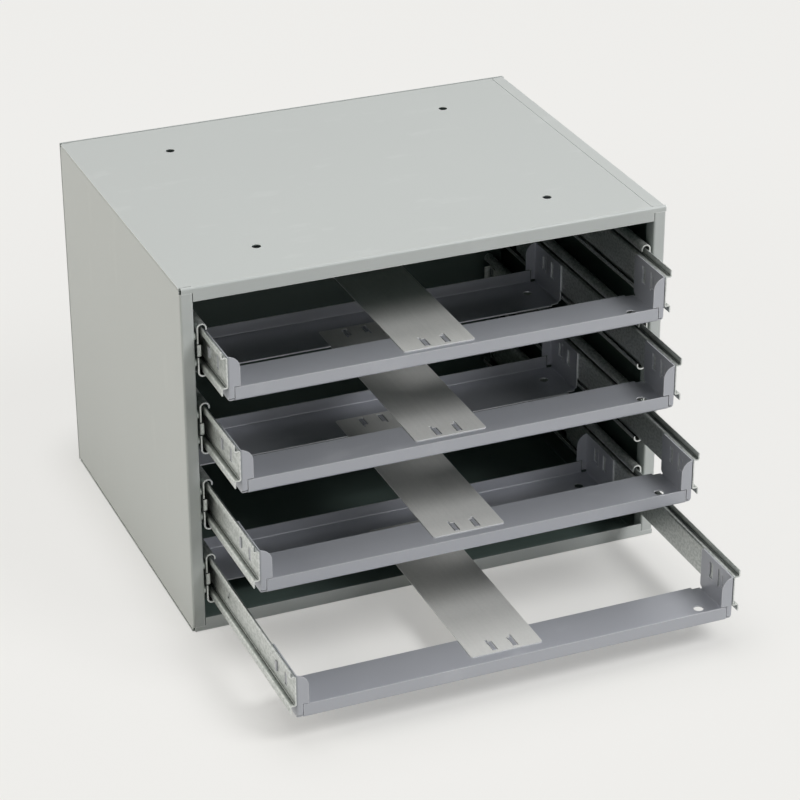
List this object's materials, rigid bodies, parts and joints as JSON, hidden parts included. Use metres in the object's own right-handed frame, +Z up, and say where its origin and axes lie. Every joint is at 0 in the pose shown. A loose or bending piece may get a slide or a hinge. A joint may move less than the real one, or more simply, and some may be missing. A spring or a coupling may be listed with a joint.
{
  "type": "slide rack for compartment boxes",
  "caption": "Sheet steel case with pull-out open frames on ball bearing slides, each frame carrying one large compartment box.",
  "frame": {"origin": "middle of the case's footprint, at the underside of the case", "axes": "+Z up, the open front and the frames face -Y, +X is to the right seen from the front"},
  "size_m": [0.516, 0.624, 0.381],
  "materials": {
    "case_paint": "smooth light grey powder coat, satin",
    "rail_paint": "smooth cool grey powder coat, satin",
    "strap_steel": "bare zinc plated strip, drawn lengthwise",
    "slide_zinc": "bright zinc plated, roll formed",
    "cage_steel": "thin plain steel strip, lightly oiled",
    "ball_steel": "hardened polished balls",
    "rivet_steel": "zinc plated steel"
  },
  "bodies": {
    "case": {"left_side_panel": "case_paint", "right_side_panel": "case_paint", "top_panel": "case_paint", "bottom_panel": "case_paint", "back_panel": "case_paint", "case_slide_left_1": "slide_zinc", "case_slide_left_2": "slide_zinc", "case_slide_left_3": "slide_zinc", "case_slide_left_4": "slide_zinc", "case_slide_right_1": "slide_zinc", "case_slide_right_2": "slide_zinc", "case_slide_right_3": "slide_zinc", "case_slide_right_4": "slide_zinc", "left_case_rivets": "rivet_steel", "right_case_rivets": "rivet_steel"},
    "frame_1": {"front_rail_1": "rail_paint", "rear_rail_1": "rail_paint", "strap_1": "strap_steel", "frame_slide_left_1": "slide_zinc", "frame_slide_right_1": "slide_zinc"},
    "cages_1": {"cage_left_1": "cage_steel", "cage_right_1": "cage_steel", "balls_1": "ball_steel"},
    "frame_2": {"front_rail_2": "rail_paint", "rear_rail_2": "rail_paint", "strap_2": "strap_steel", "frame_slide_left_2": "slide_zinc", "frame_slide_right_2": "slide_zinc"},
    "cages_2": {"cage_left_2": "cage_steel", "cage_right_2": "cage_steel", "balls_2": "ball_steel"},
    "frame_3": {"front_rail_3": "rail_paint", "rear_rail_3": "rail_paint", "strap_3": "strap_steel", "frame_slide_left_3": "slide_zinc", "frame_slide_right_3": "slide_zinc"},
    "cages_3": {"cage_left_3": "cage_steel", "cage_right_3": "cage_steel", "balls_3": "ball_steel"},
    "frame_4": {"front_rail_4": "rail_paint", "rear_rail_4": "rail_paint", "strap_4": "strap_steel", "frame_slide_left_4": "slide_zinc", "frame_slide_right_4": "slide_zinc"},
    "cages_4": {"cage_left_4": "cage_steel", "cage_right_4": "cage_steel", "balls_4": "ball_steel"}
  },
  "joints": [
    {"name": "frame_1_slide", "type": "slide", "parent": "case", "child": "frame_1", "axis": [0, -1, 0], "range_m": [-0.0569, 0.2317]},
    {"name": "cages_1_slide", "type": "slide", "parent": "case", "child": "cages_1", "axis": [0, -1, 0], "range_m": [-0.02847, 0.11587]},
    {"name": "frame_2_slide", "type": "slide", "parent": "case", "child": "frame_2", "axis": [0, -1, 0], "range_m": [-0.0864, 0.2022]},
    {"name": "cages_2_slide", "type": "slide", "parent": "case", "child": "cages_2", "axis": [0, -1, 0], "range_m": [-0.04322, 0.10112]},
    {"name": "frame_3_slide", "type": "slide", "parent": "case", "child": "frame_3", "axis": [0, -1, 0], "range_m": [-0.1324, 0.1562]},
    {"name": "cages_3_slide", "type": "slide", "parent": "case", "child": "cages_3", "axis": [0, -1, 0], "range_m": [-0.06622, 0.07812]},
    {"name": "frame_4_slide", "type": "slide", "parent": "case", "child": "frame_4", "axis": [0, -1, 0], "range_m": [-0.2259, 0.0627]},
    {"name": "cages_4_slide", "type": "slide", "parent": "case", "child": "cages_4", "axis": [0, -1, 0], "range_m": [-0.11297, 0.03137]}
  ],
  "couplings": [
    {"joint": "cages_1_slide", "follows": "frame_1_slide", "ratio": 0.5},
    {"joint": "cages_2_slide", "follows": "frame_2_slide", "ratio": 0.5},
    {"joint": "cages_3_slide", "follows": "frame_3_slide", "ratio": 0.5},
    {"joint": "cages_4_slide", "follows": "frame_4_slide", "ratio": 0.5}
  ]
}
